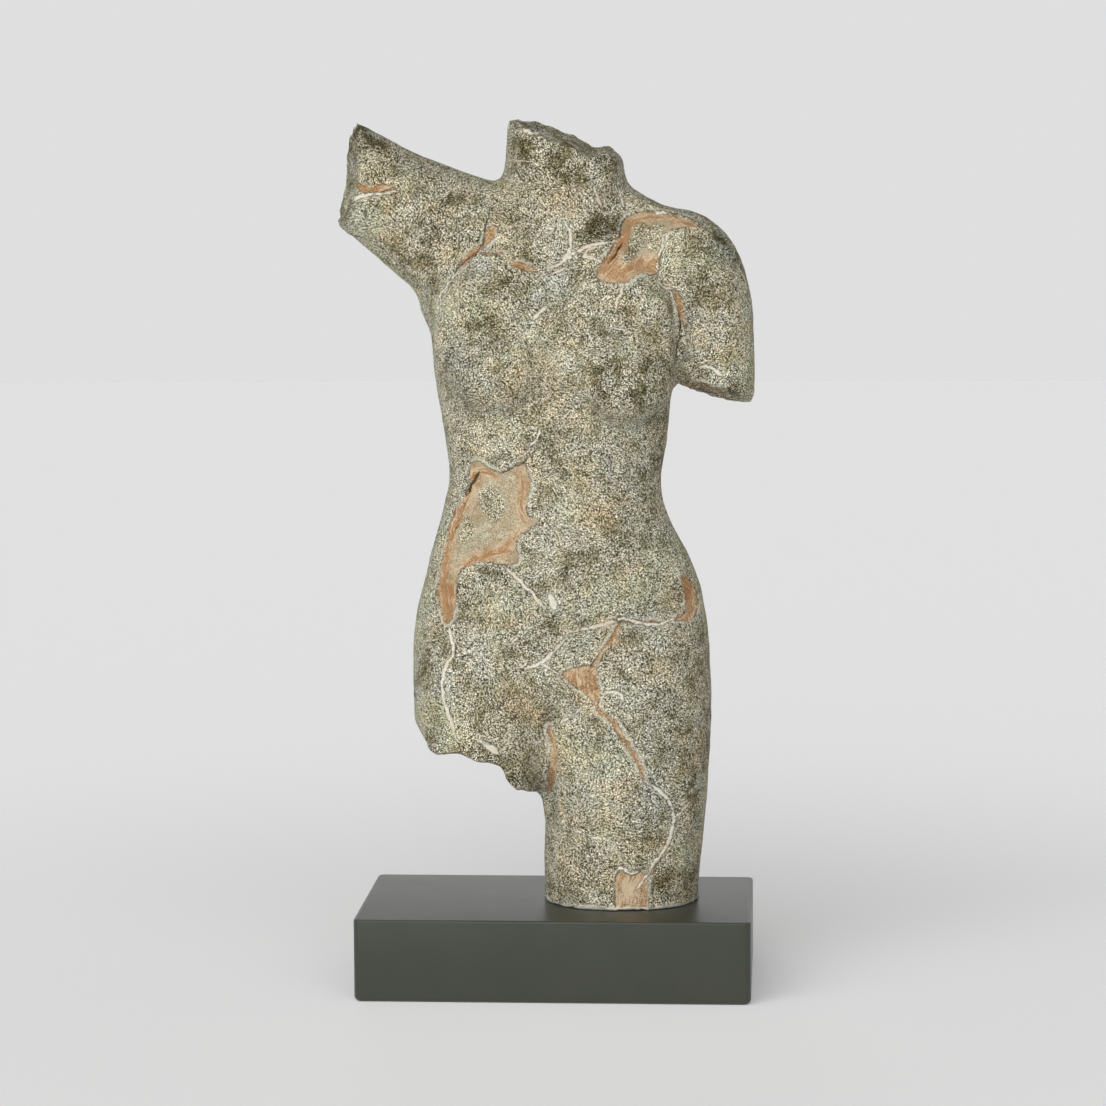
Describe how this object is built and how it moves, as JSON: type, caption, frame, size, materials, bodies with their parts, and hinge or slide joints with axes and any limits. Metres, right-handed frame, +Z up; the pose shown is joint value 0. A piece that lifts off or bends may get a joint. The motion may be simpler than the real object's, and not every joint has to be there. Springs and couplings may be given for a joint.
{
  "type": "broken female torso statue on a block plinth",
  "caption": "Headless antique-style female torso with one raised arm stump, standing on one thigh on a rectangular plinth.",
  "frame": {"origin": "centre of the plinth's underside", "axes": "+Z up, the figure faces -Y, +X towards the figure's own left, the lowered arm and the standing leg"},
  "size_m": [0.2876, 0.16, 0.5983],
  "materials": {
    "cast_stone": "matte",
    "plinth_paint": "satin"
  },
  "bodies": {
    "root": {"torso": "cast_stone", "plinth": "plinth_paint"}
  },
  "joints": []
}
